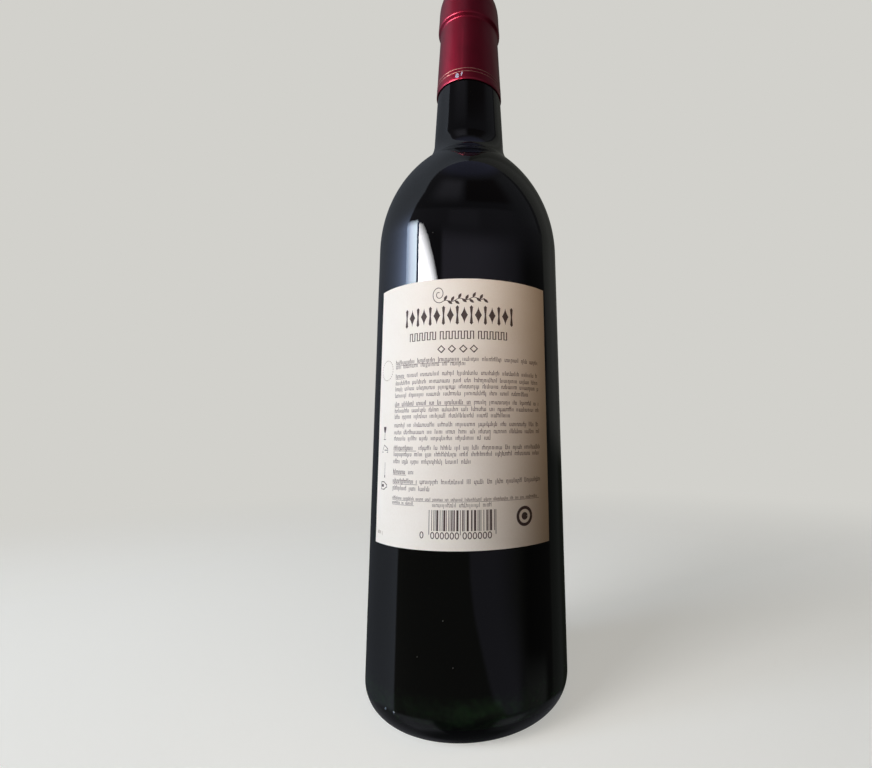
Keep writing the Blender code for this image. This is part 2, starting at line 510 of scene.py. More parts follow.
def deep_red_wine():
    """Liquid too deep to see through: almost black, painted pale low down as light that the heel gathers.
    """
    made, tree = new_material("red_wine_in_bulk")
    place = add_node(tree, "ShaderNodeTexCoord")
    apart = add_node(tree, "ShaderNodeSeparateXYZ", {0: place.outputs["Object"]})
    # The pale share is painted light: low in the heel, stronger towards +X, broken into soft patches.
    low = in_range(tree, apart.outputs["Z"], GLOW_TOP, GLOW_FULL, kind="SMOOTHSTEP")
    side = in_range(tree, apart.outputs["X"], GLOW_LEFT, GLOW_RIGHT, 0.2, kind="SMOOTHSTEP")
    patch = in_range(tree, noise(tree, 7 * MM), 0.35, 0.6, 0.35)
    share = product(tree, product(tree, low, side), patch)
    colour = blended(tree, share, WINE_DEEP, PAINTED_HEEL_GLOW)
    return finished(made, tree, {"Base Color": colour, "Roughness": 0.3, "Specular IOR Level": 0.0})


wine = turned("wine_fill", wine_profile(), 96, deep_red_wine())
ride_with(wine, "wine", "wine")

# %% [markdown]
# ## The capsule
# A sleeve of thin tin or aluminium, lacquered burgundy, is spun tight over the lip and the neck, so the
# lip ring shows through it as a step. It is a turned shell with slight unevenness: the foil is a few
# hundredths of a millimetre off round, fine pleats gather over the mouth where the sleeve had to shrink,
# and one long overlap runs down it where the foil was joined.

# %% Profile and relief of the capsule
CAPSULE_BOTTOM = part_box("capsule")[0].z
CAPSULE_OUT = 0.55 * MM
CAPSULE_IN = 0.04 * MM
CAPSULE_EDGE = 0.42 * MM
PLEATS = 40
PLEAT_DEPTH = 0.05 * MM
PLEATS_START, PLEATS_FADE = (292 * MM, 297 * MM), (5 * MM, 9 * MM)
FOIL_WAVER = 0.03 * MM
FOIL_SEAM_ANGLE = math.radians(-98.3)
FOIL_SEAM_STEP = 0.09 * MM
FOIL_SEAM_RISE, FOIL_SEAM_FALL = (0.0, 0.05), (0.05, 1.2)
FOIL_SEAM_ENDS = (270 * MM, 278 * MM)
CORNER_CUT = 0.18


def rounded(points):
    """Cuts every inner corner twice: each run keeps its points at the cut and at 1 minus the cut."""
    for _ in range(2):
        start, end = points[:-1], points[1:]
        near, far = start + CORNER_CUT * (end - start), end - CORNER_CUT * (end - start)
        points = np.vstack([points[:1], np.stack([near, far], axis=1).reshape(-1, 2)[1:-1], points[-1:]])
    return points


def sleeve(offset, edge):
    """Outside of neck and lip grown by an offset, less at its lower edge, up to the axis on top."""
    foot = (neck_radius(CAPSULE_BOTTOM) + edge, CAPSULE_BOTTOM)
    full = (neck_radius(CAPSULE_BOTTOM) + offset, CAPSULE_BOTTOM + 0.5 * MM)
    top = lip(offset, 14)
    below_ring = (NECK_TOP_RADIUS + offset, RING_BOTTOM - 1.2 * MM)
    under_ring = (NECK_TOP_RADIUS + offset, RING_BOTTOM - 0.3 * MM)
    step = rounded(np.array([below_ring, under_ring, top[1], top[1] + (0.0, 1.0 * MM)]))
    return joined(
        [foot],
        np.linspace(full, below_ring, 45),
        step,
        np.linspace(step[-1], top[2], 9),
        top[3:],
        np.linspace(top[-1], (0.0, top[-1, 1]), 11),
    )


LINING = sleeve(CAPSULE_IN, CAPSULE_IN)
CAPSULE_PROFILE = joined(LINING[::-1], sleeve(CAPSULE_OUT, CAPSULE_EDGE))


def capsule_relief(radius, height, angle, row):
    """Wavering foil, pleats over the mouth, and the long overlap where the sleeve's foil was joined."""
    waver = np.sin(2 * angle + height / (7 * MM)) + np.sin(7 * angle - height / (4 * MM) + 0.6)
    waver = waver + np.sin(11 * angle + height / (2.6 * MM) + 2.1)
    pleat = np.cos(PLEATS * angle + 2.0 * np.sin(3 * angle)) * smooth_step(height, *PLEATS_START)
    pleat = pleat * smooth_step(radius, *PLEATS_FADE)
    turn = np.angle(np.exp(1j * (angle - FOIL_SEAM_ANGLE)))
    overlap = smooth_step(turn, *FOIL_SEAM_RISE) * (1.0 - smooth_step(turn, *FOIL_SEAM_FALL))
    overlap = overlap * (1.0 - smooth_step(height, *FOIL_SEAM_ENDS))
    lift = FOIL_WAVER / 3.0 * waver + PLEAT_DEPTH * pleat + FOIL_SEAM_STEP * overlap
    return np.where(row > len(LINING), lift, 0.0)


# %% [markdown]
# Lacquered foil is a metal under a coloured, slightly cloudy lacquer. It could be made as red paint, but
# paint has white highlights. Here the metal itself takes the lacquer's colour, so that even its highlights
# are red, and a thin coat lies over it. Handling leaves it a little duller in places, which a soft noise
# does here.

# %% Make the capsule
LACQUER_DEEP = "#8c142d"
LACQUER_LIGHT = "#981631"


def lacquered_foil():
    """Burgundy lacquer over tin: cloudy colour, satin gloss that varies a little, a fine orange peel."""
    made, tree = new_material("tin_foil_lacquered_burgundy")
    cloud = noise(tree, 9 * MM, 4.0)
    finish = {
        "Base Color": blended(tree, cloud, LACQUER_DEEP, LACQUER_LIGHT),
        "Metallic": 1.0,
        "Roughness": in_range(tree, cloud, 0.0, 1.0, 0.37, 0.45),
        "Coat Weight": 0.5,
        "Coat Roughness": 0.25,
        "Normal": bumped(tree, noise(tree, 0.9 * MM), 0.5, 0.02 * MM),
    }
    return finished(made, tree, finish)


capsule = turned("capsule_foil", CAPSULE_PROFILE, 256, lacquered_foil(), capsule_relief)
ride_with(capsule, "capsule", "capsule")

# %% [markdown]
# ## Lines on the capsule
# Two fine gold lines are hot-stamped round the sleeve near its lower edge. Each is a flattened ring: an
# ellipse carried round the axis. It rises and falls with the foil under it, so that it never sinks in.

# %% Make the lines
LINE_HEIGHTS = (253.2 * MM, 251.6 * MM)
LINE_HALF_WIDTH = 0.17 * MM
LINE_RISE = 0.05 * MM
LINE_CLEARANCE = 0.01 * MM
LINE_COLUMNS, LINE_SECTION = 192, 12


def hoop(height):
    """A ring of elliptical section: radius R plus a cos t, height plus b sin t, carried round Z."""
    around, section = full_turn(LINE_COLUMNS)[None, :], full_turn(LINE_SECTION)[:, None]
    foil = neck_radius(height) + CAPSULE_OUT
    foil = foil + capsule_relief(foil, height, around, len(LINING) + 1)
    radius = foil + LINE_CLEARANCE + LINE_RISE * np.cos(section)
    level = height + LINE_HALF_WIDTH * np.sin(section) + 0.0 * around
    return around_z(radius, around, level).reshape(-1, 3)


def hot_stamped_gold():
    """Pale pinkish gold pigment foil, pressed on: metallic and slightly broken up by noise."""
    made, tree = new_material("gold_pigment_foil_stamped")
    colour = blended(tree, noise(tree, 1.5 * MM, 3.0), "#9c5a50", "#c68f80")
    return finished(made, tree, {"Base Color": colour, "Metallic": 0.6, "Roughness": 0.4})


def capsule_lines():
    """Both lines as one piece."""
    points = [hoop(height) for height in LINE_HEIGHTS]
    ring = grid_faces(LINE_SECTION, LINE_COLUMNS, rows_close=True, columns_close=True)
    faces = [ring, ring + len(points[0])]
    return new_piece("capsule_lines", np.vstack(points), faces, hot_stamped_gold())


lines = capsule_lines()
ride_with(lines, "capsule")

# %% [markdown]
# ## The label
# The label is a sheet of cream paper, glued on wet, so it lies tight on the glass. It is a thin closed
# shell: a flat loop of section points, bottom edge, face, top edge and back, carried along the arc of the
# body. A real sheet is never quite flat, so the face rises and falls by about 0.01 mm.

# %% Make the paper
LABEL_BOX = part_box("label")
LABEL_BOTTOM = LABEL_BOX[0].z
LABEL_TOP = LABEL_BOX[1].z
LABEL_WIDTH = 70.8 * MM
PAPER_BACK = 0.03 * MM
PAPER_LIFT = 0.16 * MM
COCKLE = 0.008 * MM
PAPER_LIGHT, PAPER_DEEP = "#f8f4ec", "#e9e2d4"


def paper_face(angle, height):
    """Radius of the paper's face: the body's, plus its thickness, plus sin times sin where it cockled."""
    cockle = np.sin(7 * angle + height / (11 * MM)) * np.sin(height / (8 * MM) - 4 * angle)
    return BODY_RADIUS + PAPER_LIFT + COCKLE * cockle


def paper_shell():
    """Points (R cos a, R sin a, z) over section and angle, with a cap on each end, and their faces."""
    columns, rows = 120, 60
    height = np.linspace(LABEL_BOTTOM, LABEL_TOP, rows)
    level = np.concatenate([height, height[::-1]])[:, None]
    in_front = np.repeat([True, False], rows)[:, None]
    half_span = LABEL_WIDTH / BODY_RADIUS / 2.0
    angle = np.linspace(-half_span, half_span, columns)[None, :] - math.pi / 2.0
    level = level + 0.0 * angle
    radius = np.where(in_front, paper_face(angle, level), BODY_RADIUS + PAPER_BACK)
    loop = np.arange(2 * rows) * columns
    faces = [grid_faces(2 * rows, columns, rows_close=True), loop[None, :], loop[None, ::-1] + columns - 1]
    return around_z(radius, angle, level).reshape(-1, 3), faces


def cream_paper():
    """Uncoated wove paper: cream, with fine fibres and soft mottling."""
    made, tree = new_material("wove_paper_uncoated_cream")
    fibre = noise(tree, 0.5 * MM, 5.0)
    share = product(tree, fibre, noise(tree, 12 * MM, 3.0))
    finish = {
        "Base Color": blended(tree, share, PAPER_LIGHT, PAPER_DEEP),
        "Roughness": 0.75,
        "Specular IOR Level": 0.3,
        "Normal": bumped(tree, fibre, 0.6, 0.03 * MM),
    }
    return finished(made, tree, finish)


paper = new_piece("label_paper", *paper_shell(), cream_paper())
ride_with(paper, "label", "label")

# %% [markdown]
# ## The print
# Back labels are printed in one dark ink: a flourish, a heavy line, a line of capitals, blocks of small
# print, a bar code. No words are set here. Small print becomes rows of upright strokes with gaps between
# them, and the large lines become ornaments of the same size and weight. It could be painted into the
# paper's material, but ink as thin closed slabs keeps a crisp edge from any distance. Everything is laid
# out flat, in millimetres: u to the right from the label's middle and v up from its lower edge.

# %% Helpers for print
INK_BACK = 0.004 * MM
INK_FACE = 0.022 * MM
LONGEST_SLAB = 1.8
SLAB_SIDES = np.array([(0, 1, 2, 3), (7, 6, 5, 4), (0, 4, 5, 1), (1, 5, 6, 2), (2, 6, 7, 3), (3, 7, 4, 0)])


def boxes(left, low, right, high):
    """Upright rectangles from their sides, corners in order round each."""
    left, low, right, high = np.broadcast_arrays(left, low, right, high)
    corners = [(left, low), (right, low), (right, high), (left, high)]
    return np.stack([pairs(*corner) for corner in corners], axis=-2).reshape(-1, 4, 2)


def rule(left, right, low, high):
    """A long bar, cut into pieces short enough to follow the body's curve."""
    edges = np.linspace(left, right, int((right - left) / LONGEST_SLAB) + 2)
    return boxes(edges[:-1], low, edges[1:], high)


def ribbon(path, half_width):
    """Quads along a path: each point moved by the half width to both sides, square to the path."""
    across = square_to(path) * np.broadcast_to(half_width, len(path))[:, None]
    right, left = path + across, path - across
    return np.stack([right[:-1], right[1:], left[1:], left[:-1]], axis=1)


def oval(centre, half_width, half_height, line, steps=24):
    """An outline: centre plus (half width times cos t, half height times sin t), as a ribbon."""
    turn = np.linspace(0.0, math.tau, steps + 1)
    return ribbon(np.array(centre) + pairs(half_width * np.cos(turn), half_height * np.sin(turn)), line)


def small_print(left, right, middle, x_height, draw, weight=0.09):
    """Upright strokes 0.45 x-heights apart, with a gap after every 5 to 20, and joins between some.

    Some strokes rise half an x-height above the others and a few drop below them. None is a letter.
    """
    pitch = 0.45 * x_height
    count = int((right - left) / pitch)
    order = np.arange(count)
    at = left + pitch * (order + draw.uniform(0.1, 0.3, count))
    breaks = np.cumsum(draw.integers(5, 21, count))
    kept = ~np.isin(order, np.concatenate([breaks, breaks + 1]))
    chance = draw.random(count)
    low = middle - x_height * np.where(chance < 0.07, 0.95, 0.5)
    high = middle + x_height * np.where(chance > 0.80, 1.0, 0.5)
    strokes = boxes(at - weight, low, at + weight, high)[kept]
    tied = kept[:-1] & kept[1:] & (draw.random(count - 1) < 0.55)
    level = middle + x_height * np.where(draw.random(count - 1) < 0.5, 0.42, -0.42)
    ties = boxes(at[:-1], level - 0.08 * x_height, at[1:], level + 0.08 * x_height)[tied]
    return np.concatenate([strokes, ties])


def halves(quads):
    """Splits each quad of a broad ribbon along its path, so that it follows the body's curve."""
    near = (quads[:, 0] + quads[:, 3]) / 2.0
    far = (quads[:, 1] + quads[:, 2]) / 2.0
    right = np.stack([quads[:, 0], quads[:, 1], far, near], axis=1)
    return np.concatenate([right, np.stack([near, far, quads[:, 2], quads[:, 3]], axis=1)])


def lay_on_label(name, shapes, material):
    """Closed slabs from four-sided shapes: angle u / R minus 90 degrees, height v, just off the paper."""
    corners = np.concatenate(shapes) * MM
    angle = corners[..., 0] / BODY_RADIUS - math.pi / 2.0
    level = corners[..., 1] + LABEL_BOTTOM
    paper = paper_face(angle, level)
    sheets = [around_z(paper + lift, angle, level) for lift in (INK_FACE, INK_BACK)]
    points = np.concatenate(sheets, axis=1).reshape(-1, 3)
    faces = (8 * np.arange(len(corners))[:, None, None] + SLAB_SIDES[None]).reshape(-1, 4)
    piece = new_piece(name, points, [faces], material, smooth=False)
    ride_with(piece, "label")
    return piece


# %% [markdown]
# The flourish stands where a word in handwriting is. It is a vine: a spiral curl runs out into a swaying
# stem with pointed leaves. Under it runs a heavy band of upright stars and bars, like the bead and reel of
# old mouldings, then a running fret, and four lozenges.

# %% Draw the head of the label
CURL_CENTRE = (-6.9, 85.3)
STEM_LENGTH = 15.0
LEAF_LENGTH = 2.1
BAND_MIDDLE = 77.6
BAND_POINTS = 13
STAR_COUNT = 8
STAR_PITCH = 4.85
STAR_LEFT = -19.7
FRET_LOW, FRET_HIGH = 69.1, 72.0
FRET_STROKE = 0.26
LOZENGE_HEIGHT = 65.7


def flourish():
    """A spiral, centre plus reach times (cos, sin), a stem that sways by sine, and pointed leaves."""
    share = np.linspace(0.0, 1.0, 70)
    angle = math.radians(60.0) + 3.3 * math.pi * share
    reach = 0.5 + 2.7 * share
    curl = np.array(CURL_CENTRE) + reach[:, None] * pairs(0.8 * np.cos(angle), np.sin(angle))
    share = np.linspace(0.0, 1.0, 121)[1:]
    rise = 1.3 * np.sin(0.5 * math.pi * share) + 0.4 * np.sin(3.0 * math.tau * share)
    stem = curl[-1] + pairs(STEM_LENGTH * share, rise)
    shapes = [ribbon(np.vstack([curl, stem]), 0.12)]
    along = np.linspace(0.0, 1.0, 9)
    for number, foot in enumerate(stem[6::10]):
        lean = math.radians(62.0 if number % 2 == 0 else -38.0)
        path = foot + LEAF_LENGTH * pairs(math.cos(lean) * along, math.sin(lean) * along)
        shapes.append(ribbon(path, 0.06 + 0.42 * np.sin(math.pi * along)))
    return np.concatenate(shapes)


def star_and_bars(u, with_star):
    """An upright bar with lozenge ends and, to its right, a star that narrows as (1 - |s|) to the 1.6."""
    share = np.linspace(-1.0, 1.0, BAND_POINTS)
    shapes = [ribbon(pairs(u, BAND_MIDDLE + 2.5 * share), 0.37 - 0.11 * np.cos(math.pi * share))]
    for middle in (BAND_MIDDLE - 2.7, BAND_MIDDLE + 2.7):
        shapes.append(ribbon(pairs(u, middle + np.array([-0.75, 0.0, 0.75])), [0.02, 0.62, 0.02]))
    if with_star:
        path = pairs(u + STAR_PITCH / 2.0, BAND_MIDDLE + 3.0 * share)
        shapes.append(halves(ribbon(path, 0.02 + 1.2 * (1.0 - np.abs(share)) ** 1.6)))
    return np.concatenate(shapes)


def running_fret(left, right):
    """Uprights about a millimetre apart, tied by turns along the head and along the foot."""
    count = round((right - left) / 1.05)
    at = np.linspace(left, right, count + 1)
    level = np.where(np.arange(count) % 2 == 0, FRET_HIGH - FRET_STROKE, FRET_LOW)
    uprights = boxes(at - 0.18, FRET_LOW, at + 0.18, FRET_HIGH)
    return np.concatenate([uprights, boxes(at[:-1], level, at[1:], level + FRET_STROKE)])


def lozenge(u, v, reach, line):
    """A square set on its corner, as an outline."""
    path = [(u, v - reach), (u + reach, v), (u, v + reach), (u - reach, v)]
    return ribbon(np.array(path + path[:2]), line)[:4]


HEAD = [
    flourish(),
    *[star_and_bars(STAR_LEFT + STAR_PITCH * i, i < STAR_COUNT) for i in range(STAR_COUNT + 1)],
    *[running_fret(left, right) for left, right in ((-18.0, -7.9), (-6.2, 5.3), (7.0, 17.1))],
    *[lozenge(u, LOZENGE_HEIGHT, 1.2, 0.24) for u in (-5.8, -2.1, 1.8, 5.4)],
]

# %% [markdown]
# Blocks of small print fill the middle. Each block is given by where its underlined lead ends, and by the
# height and the end of each of its lines. At the foot come a bar code of random bars, ovals in place of its
# figures, and a plain ring. Small signs stand in the left margin: a glass, a wedge, a measuring line and a
# lying bottle.

# %% Draw the blocks of print
MARGIN = -24.7
PRINT_BLOCKS = (
    (0.7, (62.0, 31.0), (60.5, 3.0)),
    (-20.0, (57.2, 30.6), (54.7, 31.3), (52.6, 31.5), (50.3, 26.7)),
    (4.6, (47.3, 31.2), (45.0, 31.5), (42.9, 18.9)),
    (None, (40.0, 30.9), (37.6, 31.4), (35.5, 11.5)),
    (-14.5, (32.3, 31.3), (30.2, 31.0), (27.8, 4.8)),
    (-18.5, (24.3, -14.8)),
    (-13.8, (21.3, 31.4), (19.0, -9.1)),
)
FINEST_LINES = ((15.8, 30.0), (14.3, -15.0))
BAR_MODULE = 0.236
BARS_LEFT, BARS_RIGHT = -9.4, 13.1
GUARDS_LOW, BARS_LOW, BARS_TOP = 4.9, 6.1, 12.6
FIGURE_HEIGHT = 4.7
FIGURE_PITCH = 1.62
MARK_CENTRE = (23.3, 9.7)


def print_blocks(draw):
    """All lines of small print. A lead is heavier and has a rule under it."""
    shapes = []
    for lead, *block in PRINT_BLOCKS:
        for middle, end in block:
            start = MARGIN
            if lead is not None and middle == block[0][0]:
                shapes.append(small_print(MARGIN, lead, middle, 1.1, draw, 0.11))
                shapes.append(rule(MARGIN, lead, middle - 0.95, middle - 0.80))
                start = lead + 0.9
            shapes.append(small_print(start, end, middle, 1.05, draw))
    for middle, end in FINEST_LINES:
        shapes.append(small_print(MARGIN, end, middle, 0.72, draw, 0.065))
        shapes.append(rule(MARGIN, end, middle - 0.68, middle - 0.56))
    shapes.append(small_print(-8.3, 12.4, 14.0, 0.95, draw, 0.07))
    return shapes


def bar_code(draw):
    """Bars and spaces of one to three modules by turns. The first, middle and last bars reach lower."""
    widths = draw.choice([1, 1, 1, 2, 2, 3], 90) * BAR_MODULE
    edges = BARS_LEFT + np.concatenate([[0.0], np.cumsum(widths)])
    left, right = edges[0:-1:2], edges[1::2]
    in_code = right < BARS_RIGHT
    left, right = left[in_code], right[in_code]
    guard = np.isin(np.arange(len(left)), [0, len(left) // 2, len(left) - 1])
    return boxes(left, np.where(guard, GUARDS_LOW, BARS_LOW), right - 0.03, BARS_TOP)


def figure(u):
    """An oval in place of a figure."""
    return oval((u, FIGURE_HEIGHT), 0.55, 0.95, 0.15)


def margin_signs():
    """Wine glass, wedge, measuring line and lying bottle, a few millimetres each."""
    share = np.linspace(0.0, 1.0, 8)
    bowl = ribbon(pairs(-30.5, 37.6 + 2.2 * share), 0.15 + 0.75 * np.sqrt(share))
    wedge = [(-31.9, 30.9), (-28.3, 30.9), (-28.3, 32.1), (-30.6, 33.4)]
    body = [(-31.8, 20.7), (-31.8, 18.2), (-29.9, 18.2), (-28.9, 18.9), (-28.3, 18.9), (-28.3, 20.0)]
    back = [(-28.3, 20.0), (-28.9, 20.0), (-29.9, 20.7), (-31.8, 20.7)]
    return [
        bowl,
        boxes(-30.60, 35.5, -30.40, 37.8),
        rule(-31.2, -29.8, 35.2, 35.45),
        ribbon(np.array(wedge + wedge[:2]), 0.15)[:4],
        rule(-30.5, -28.5, 31.5, 31.75),
        boxes(-29.87, 22.6, -29.73, 27.4),
        boxes(-30.05, 22.2, -29.55, 23.0),
        ribbon(np.array(body), 0.15),
        ribbon(np.array(back), 0.15),
        boxes(-31.5, 19.0, -30.2, 19.9),
    ]


chances = np.random.default_rng(11)
BLOCKS = print_blocks(chances)
FOOT = [
    bar_code(chances),
    *[figure(left + FIGURE_PITCH * i) for left in (-8.1, 2.5) for i in range(6)],
    figure(-11.9),
    oval(MARK_CENTRE, 2.75, 2.75, 0.5),
    oval(MARK_CENTRE, 0.62, 0.62, 0.6),
]

# %% Print it


def printing_ink(name, hex_colour):
    """Offset ink sunk into uncoated paper: matt, and a little uneven in strength."""
    made, tree = new_material(name)
    colour = uneven(tree, hex_colour, 1.2 * MM, 3.0, 0.75, 1.5)
    return finished(made, tree, {"Base Color": colour, "Roughness": 0.7, "Specular IOR Level": 0.3})


lay_on_label("label_print", HEAD + FOOT + margin_signs(), printing_ink("ink_offset_dark", "#4a3f3d"))
lay_on_label("label_small_print", BLOCKS, printing_ink("ink_offset_thin_strokes", "#6f6360"))

# %% Print the faint marks
STAMP_CENTRE = (-30.0, 60.0)
STAMP_RADIUS = 3.6


def faint_marks(draw):
    """A ring of short dashes, as from a stamp, and a few marks in the lower corner."""
    dashes = oval(STAMP_CENTRE, STAMP_RADIUS, STAMP_RADIUS, 0.16, 48)[::2]
    return [dashes, small_print(-33.6, -29.6, 3.7, 0.9, draw, 0.08)]


lay_on_label("label_stamp", faint_marks(chances), printing_ink("ink_offset_faint", "#a39484"))

# %% [markdown]
# ## Specks
# Up close a bottle always carries a few marks: two moulded dots on the heel, which tell the mould apart,
# some dust, and two nicks at the capsule's edge where bare metal shows. The dots are coloured grey-blue and
# the nicks pale lilac, lighter than glass and bare tin: painted highlights, their glints. Each is a small
# ellipsoid pressed into the surface, so all of them come from one function.

# %% Make the specks
SPECK_ROWS, SPECK_COLUMNS = 7, 12
SIDE = OUTSIDE[BEARING_ROWS[-1] : -1]


def side_radius(height):
    """Outer radius of what shows at a height: the glass, or the capsule from its lower edge up."""
    if height > CAPSULE_BOTTOM:
        return neck_radius(height) + CAPSULE_OUT
    return np.interp(height, SIDE[:, 1], SIDE[:, 0])


def unit_sphere():
    """Rings of points (cos s cos t, cos s sin t, sin s), then the two poles."""
    tip = np.linspace(-math.pi / 2.0, math.pi / 2.0, SPECK_ROWS + 2)[1:-1, None]
    turn = full_turn(SPECK_COLUMNS)[None, :]
    rings = around_z(np.cos(tip), turn, np.sin(tip) + 0.0 * turn).reshape(-1, 3)
    return np.vstack([rings, [(0.0, 0.0, -1.0), (0.0, 0.0, 1.0)]])


def ellipsoids(name, spots, material):
    """Unit spheres stretched along three axes on the bottle's side: across, up and out.

    Each spot is its angle from -Y in degrees, height, half width, half height and rise, in millimetres.
    """
    sphere = unit_sphere()
    points, faces = [], []
    for number, (degrees, height, half_width, half_height, rise) in enumerate(spots):
        angle = math.radians(degrees - 90.0)
        out = np.array([math.cos(angle), math.sin(angle), 0.0])
        aside = np.array([-math.sin(angle), math.cos(angle), 0.0])
        stretch = np.array([half_width * aside, (0.0, 0.0, half_height), rise * out]) * MM
        points.append(sphere @ stretch + out * side_radius(height * MM) + (0.0, 0.0, height * MM))
        faces += [group + number * len(sphere) for group in capped_rings(SPECK_ROWS, SPECK_COLUMNS)]
    return new_piece(name, np.vstack(points), faces, material)


def plain_finish(name, hex_colour, roughness, metallic=0.0):
    """A tiny thing's finish, with a grain too fine to see one by one."""
    made, tree = new_material(name)
    colour = uneven(tree, hex_colour, 0.3 * MM, 2.0, 0.7, 1.3)
    return finished(made, tree, {"Base Color": colour, "Roughness": roughness, "Metallic": metallic})


# The heel dots are moulded glass dots whose grey-blue colour is a painted highlight.
HEEL_DOT_GLINTS = ((-38.7, 9.4, 0.45, 0.45, 0.3), (-32.7, 9.4, 0.45, 0.45, 0.3))
DUST = (
    (-6.5, 38.2, 0.12, 0.2, 0.05),
    (-19.6, 27.1, 0.12, 0.12, 0.05),
    (-1.5, 24.9, 0.1, 0.16, 0.05),
    (41.7, 11.2, 0.2, 0.12, 0.06),
    (-14.6, 167.6, 0.12, 0.1, 0.05),
)
# The nicks are bare tin whose pale lilac colour is also a painted highlight, their glint.
NICK_GLINTS = ((-15.0, 249.5, 0.9, 1.5, 0.1), (-6.6, 249.8, 0.4, 1.6, 0.1))
ride_with(ellipsoids("heel_dot_glints", HEEL_DOT_GLINTS, plain_finish("glass_moulded_dot_painted_glint", "#55606a", 0.15)), "glass")
ride_with(ellipsoids("dust", DUST, plain_finish("dust_grey", "#8b8b84", 0.9)), "glass")
ride_with(ellipsoids("capsule_nick_glints", NICK_GLINTS, plain_finish("tin_bare_painted_glint", "#cfc4d6", 0.35, 0.4)), "capsule")

# %% [markdown]
# ## The floor and the room
# The bottle stands on a pale sweep: a floor that curves up into a wall and a domed top all round, so that
# no horizon shows. Near the bottle it is matt, and farther off it fades to an even glow, so that no lamp
# leaves a blotch on it. Dark glass is mostly a mirror, so what it mirrors has to be built as well. A large
# sphere carries the dim room of the photograph as soft patches of light, and only reflections see it. Two
# bright panes near the bottle are the window, split by one dark bar. They also light the label from the
# left, and a small warm panel lights it from the front.

# %% Make the sweep
SWEEP_RADIUS = 1.4
SWEEP_BEND = 0.5
SWEEP_WALL = 1.2
FLOOR_DROP = 0.05 * MM
MATT_WITHIN = 0.15
EVEN_BEYOND = 0.75
SWEEP_COLUMNS = 96
SWEEP_STEPS = 24


def pale_backdrop():
    """Matt pale paper round the bottle that fades, by distance, to an even glow of the same tone.

    Seen from below it is clear, so that the underside of the bottle can be looked at.
    """
    made, tree = new_material("backdrop_paper_pale")
    paper = add_node(tree, "ShaderNodeBsdfDiffuse", {"Color": rgba("#d8d8d4")})
    lift = add_node(tree, "ShaderNodeEmission", {"Color": rgba("#adada9")})
    matt = add_node(tree, "ShaderNodeAddShader", {0: paper.outputs[0], 1: lift.outputs[0]})
    even = add_node(tree, "ShaderNodeEmission", {"Color": rgba("#d2d1cc")})
    place = add_node(tree, "ShaderNodeTexCoord")
    reach = add_node(tree, "ShaderNodeVectorMath", {0: place.outputs["Object"]}, operation="LENGTH")
    far = in_range(tree, reach.outputs["Value"], MATT_WITHIN, EVEN_BEYOND, kind="SMOOTHSTEP")
    faded = add_node(tree, "ShaderNodeMixShader", {0: far, 1: matt.outputs[0], 2: even.outputs[0]})
    clear = add_node(tree, "ShaderNodeBsdfTransparent")
    side = add_node(tree, "ShaderNodeNewGeometry")
    sides = {0: side.outputs["Backfacing"], 1: faded.outputs[0], 2: clear.outputs[0]}
    return finished(made, tree, sides, "ShaderNodeMixShader")


def hide_from(item, *rays):
    """Hides an object from the kinds of ray named."""
    for ray in rays:
        setattr(item, "visible_" + ray, False)


def sweep_profile():
    """Domed top, wall, quarter circle and floor, from the axis down to the axis, which turns it inwards."""
    top = arc((0.0, SWEEP_WALL), SWEEP_RADIUS, 0.49 * math.pi, 0.0, SWEEP_STEPS)
    bend_centre = (SWEEP_RADIUS - SWEEP_BEND, SWEEP_BEND - FLOOR_DROP)
    bend = arc(bend_centre, SWEEP_BEND, 0.0, -math.pi / 2.0, SWEEP_STEPS)
    return joined([(0.0, SWEEP_WALL + SWEEP_RADIUS)], top, bend, [(0.0, -FLOOR_DROP)])


sweep = turned("sweep", sweep_profile(), SWEEP_COLUMNS, pale_backdrop())
hide_from(sweep, "glossy", "diffuse", "transmission", "shadow")

# %% Choose the light of the room
ROOM_RADIUS = 3.0
ROOM_COLUMNS, ROOM_ROWS = 720, 300
DIM_WALL = (0.078, 0.080, 0.074)
LIFT_OF_LEFT = (1.0, 1.10, 1.27)

